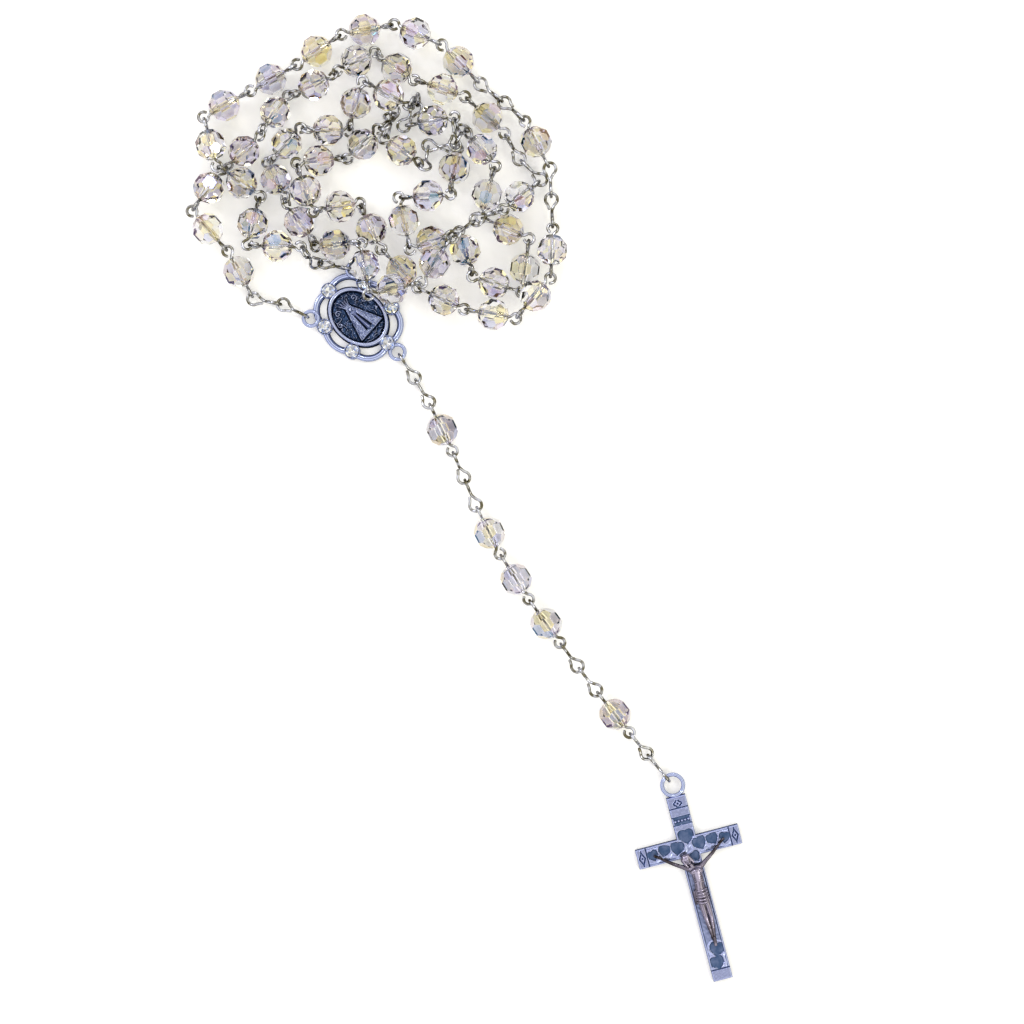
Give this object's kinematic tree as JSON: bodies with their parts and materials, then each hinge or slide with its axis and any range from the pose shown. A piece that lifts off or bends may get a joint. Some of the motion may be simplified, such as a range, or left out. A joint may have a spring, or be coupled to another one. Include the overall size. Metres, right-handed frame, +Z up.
{
  "type": "rosary",
  "caption": "Wire-linked rosary of clear faceted glass beads with a jewelled oval centrepiece and a crucifix, laid in a loose pile with its pendant stretched out.",
  "frame": {"origin": "middle of the bounding box, on the surface that the rosary lies on", "axes": "+Z up from the surface, +Y from the crucifix towards the top of the loop"},
  "size_m": [0.1362, 0.237, 0.0139],
  "materials": {
    "crystal_glass": "clear fire-polished crystal with a pale rainbow coating",
    "silver_wire": "bright silver-plated wire",
    "antique_silver": "antiqued silver-plated casting, dark in the recesses and bright on the edges",
    "dark_pewter": "dark antiqued pewter, worn brighter on the high points",
    "clear_stone": "clear foil-backed faceted stone"
  },
  "bodies": {
    "loop": {"loop_links_1": "silver_wire", "decade_1_pin": "silver_wire", "decade_1_glass": "crystal_glass", "loop_links_2": "silver_wire", "our_father_1_pin": "silver_wire", "loop_links_3": "silver_wire", "decade_2_pin": "silver_wire", "decade_2_glass": "crystal_glass", "loop_links_4": "silver_wire", "our_father_2_pin": "silver_wire", "loop_links_5": "silver_wire", "decade_3_pin": "silver_wire", "decade_3_glass": "crystal_glass", "loop_links_6": "silver_wire", "our_father_3_pin": "silver_wire", "loop_links_7": "silver_wire", "decade_4_pin": "silver_wire", "decade_4_glass": "crystal_glass", "loop_links_8": "silver_wire", "our_father_4_pin": "silver_wire", "loop_links_9": "silver_wire", "decade_5_pin": "silver_wire", "decade_5_glass": "crystal_glass", "loop_links_10": "silver_wire"},
    "our_father_1_glass": {"our_father_1_glass": "crystal_glass"},
    "our_father_2_glass": {"our_father_2_glass": "crystal_glass"},
    "our_father_3_glass": {"our_father_3_glass": "crystal_glass"},
    "our_father_4_glass": {"our_father_4_glass": "crystal_glass"},
    "centrepiece": {"centrepiece": "antique_silver", "centrepiece_stones": "clear_stone"},
    "pendant_link_1": {"pendant_link_1": "silver_wire"},
    "pendant_link_2": {"pendant_link_2": "silver_wire"},
    "pendant_bead_1_pin": {"pendant_bead_1_pin": "silver_wire"},
    "pendant_bead_1_glass": {"pendant_bead_1_glass": "crystal_glass"},
    "pendant_link_3": {"pendant_link_3": "silver_wire"},
    "pendant_link_4": {"pendant_link_4": "silver_wire"},
    "pendant_bead_2_pin": {"pendant_bead_2_pin": "silver_wire"},
    "pendant_bead_2_glass": {"pendant_bead_2_glass": "crystal_glass"},
    "pendant_bead_3_pin": {"pendant_bead_3_pin": "silver_wire"},
    "pendant_bead_3_glass": {"pendant_bead_3_glass": "crystal_glass"},
    "pendant_bead_4_pin": {"pendant_bead_4_pin": "silver_wire"},
    "pendant_bead_4_glass": {"pendant_bead_4_glass": "crystal_glass"},
    "pendant_link_5": {"pendant_link_5": "silver_wire"},
    "pendant_link_6": {"pendant_link_6": "silver_wire"},
    "pendant_bead_5_pin": {"pendant_bead_5_pin": "silver_wire"},
    "pendant_bead_5_glass": {"pendant_bead_5_glass": "crystal_glass"},
    "pendant_link_7": {"pendant_link_7": "silver_wire"},
    "pendant_link_8": {"pendant_link_8": "silver_wire"},
    "crucifix": {"crucifix": "antique_silver", "corpus": "dark_pewter"}
  },
  "joints": [
    {"name": "our_father_1_spin", "type": "hinge", "parent": "loop", "child": "our_father_1_glass", "pos_m": [0.01331, 0.07363, 0.00526], "axis": [-0.6843, -0.5842, 0.4363], "continuous": true},
    {"name": "our_father_2_spin", "type": "hinge", "parent": "loop", "child": "our_father_2_glass", "pos_m": [-0.00788, 0.09236, 0.00408], "axis": [0.9341, 0.111, 0.3392], "continuous": true},
    {"name": "our_father_3_spin", "type": "hinge", "parent": "loop", "child": "our_father_3_glass", "pos_m": [-0.01556, 0.0851, 0.00414], "axis": [-0.7631, 0.558, -0.3261], "continuous": true},
    {"name": "our_father_4_spin", "type": "hinge", "parent": "loop", "child": "our_father_4_glass", "pos_m": [0.01729, 0.08722, 0.00444], "axis": [-0.4512, 0.8857, -0.1096], "continuous": true},
    {"name": "centrepiece_tilt", "type": "hinge", "parent": "loop", "child": "centrepiece", "pos_m": [-0.03419, 0.05077, 0.0016], "axis": [0.6757, 0.7372, 0], "range_deg": [0, 60]},
    {"name": "pendant_link_1_swing", "type": "hinge", "parent": "centrepiece", "child": "pendant_link_1", "pos_m": [-0.0166, 0.03605, 0.0016], "axis": [0, 0, 1], "range_deg": [-55, 55]},
    {"name": "pendant_link_2_lift", "type": "hinge", "parent": "pendant_link_1", "child": "pendant_link_2", "pos_m": [-0.01139, 0.02796, 0.00214], "axis": [0.8616, 0.5076, 0], "range_deg": [-55, 55]},
    {"name": "pendant_bead_1_swing", "type": "hinge", "parent": "pendant_link_2", "child": "pendant_bead_1_pin", "pos_m": [-0.00884, 0.02362, 0.00379], "axis": [0.1582, -0.2685, -0.9502], "range_deg": [-55, 55]},
    {"name": "pendant_bead_1_spin", "type": "hinge", "parent": "pendant_bead_1_pin", "child": "pendant_bead_1_glass", "pos_m": [-0.00556, 0.01685, 0.00442], "axis": [0.4374, -0.8989, 0.0269], "continuous": true},
    {"name": "pendant_link_3_lift", "type": "hinge", "parent": "pendant_bead_1_pin", "child": "pendant_link_3", "pos_m": [-0.00232, 0.00999, 0.00449], "axis": [-0.9199, -0.3921, -0.0013], "range_deg": [-55, 55]},
    {"name": "pendant_link_4_swing", "type": "hinge", "parent": "pendant_link_3", "child": "pendant_link_4", "pos_m": [-0.00028, 0.00522, 0.00343], "axis": [0.0783, -0.1836, 0.9799], "range_deg": [-55, 55]},
    {"name": "pendant_bead_2_lift", "type": "hinge", "parent": "pendant_link_4", "child": "pendant_bead_2_pin", "pos_m": [0.00344, -0.00319, 0.00377], "axis": [0.894, 0.448, -0.0049], "range_deg": [-55, 55]},
    {"name": "pendant_bead_2_spin", "type": "hinge", "parent": "pendant_bead_2_pin", "child": "pendant_bead_2_glass", "pos_m": [0.00601, -0.00831, 0.00424], "axis": [0.4469, -0.8909, 0.081], "continuous": true},
    {"name": "pendant_bead_3_swing", "type": "hinge", "parent": "pendant_bead_2_pin", "child": "pendant_bead_3_pin", "pos_m": [0.00858, -0.01343, 0.0047], "axis": [0.0363, -0.0724, -0.9967], "range_deg": [-55, 55]},
    {"name": "pendant_bead_3_spin", "type": "hinge", "parent": "pendant_bead_3_pin", "child": "pendant_bead_3_glass", "pos_m": [0.01251, -0.01964, 0.00466], "axis": [0.5345, -0.8448, -0.0242], "continuous": true},
    {"name": "pendant_bead_4_lift", "type": "hinge", "parent": "pendant_bead_3_pin", "child": "pendant_bead_4_pin", "pos_m": [0.01651, -0.02579, 0.00447], "axis": [-0.8127, -0.5826, -0.0014], "range_deg": [-55, 55]},
    {"name": "pendant_bead_4_spin", "type": "hinge", "parent": "pendant_bead_4_pin", "child": "pendant_bead_4_glass", "pos_m": [0.01986, -0.03046, 0.00425], "axis": [0.5822, -0.8121, -0.0392], "continuous": true},
    {"name": "pendant_link_5_swing", "type": "hinge", "parent": "pendant_bead_4_pin", "child": "pendant_link_5", "pos_m": [0.02321, -0.03513, 0.00402], "axis": [0.0228, -0.0319, 0.9992], "range_deg": [-55, 55]},
    {"name": "pendant_link_6_lift", "type": "hinge", "parent": "pendant_link_5", "child": "pendant_link_6", "pos_m": [0.02876, -0.04253, 0.004], "axis": [0.7935, 0.6086, 0.0001], "range_deg": [-55, 55]},
    {"name": "pendant_bead_5_swing", "type": "hinge", "parent": "pendant_link_6", "child": "pendant_bead_5_pin", "pos_m": [0.03195, -0.04669, 0.00474], "axis": [0.0856, -0.1116, -0.9901], "range_deg": [-55, 55]},
    {"name": "pendant_bead_5_spin", "type": "hinge", "parent": "pendant_bead_5_pin", "child": "pendant_bead_5_glass", "pos_m": [0.03664, -0.05262, 0.00439], "axis": [0.6176, -0.781, -0.0923], "continuous": true},
    {"name": "pendant_link_7_lift", "type": "hinge", "parent": "pendant_bead_5_pin", "child": "pendant_link_7", "pos_m": [0.04133, -0.05852, 0.00356], "axis": [-0.7769, -0.6296, -0.0011], "range_deg": [-55, 55]},
    {"name": "pendant_link_8_swing", "type": "hinge", "parent": "pendant_link_7", "child": "pendant_link_8", "pos_m": [0.04451, -0.06244, 0.00193], "axis": [0.1933, -0.2384, 0.9517], "range_deg": [-55, 55]},
    {"name": "crucifix_swing", "type": "hinge", "parent": "pendant_link_8", "child": "crucifix", "pos_m": [0.05092, -0.0702, 0.0016], "axis": [0, 0, 1], "range_deg": [-55, 55]}
  ]
}
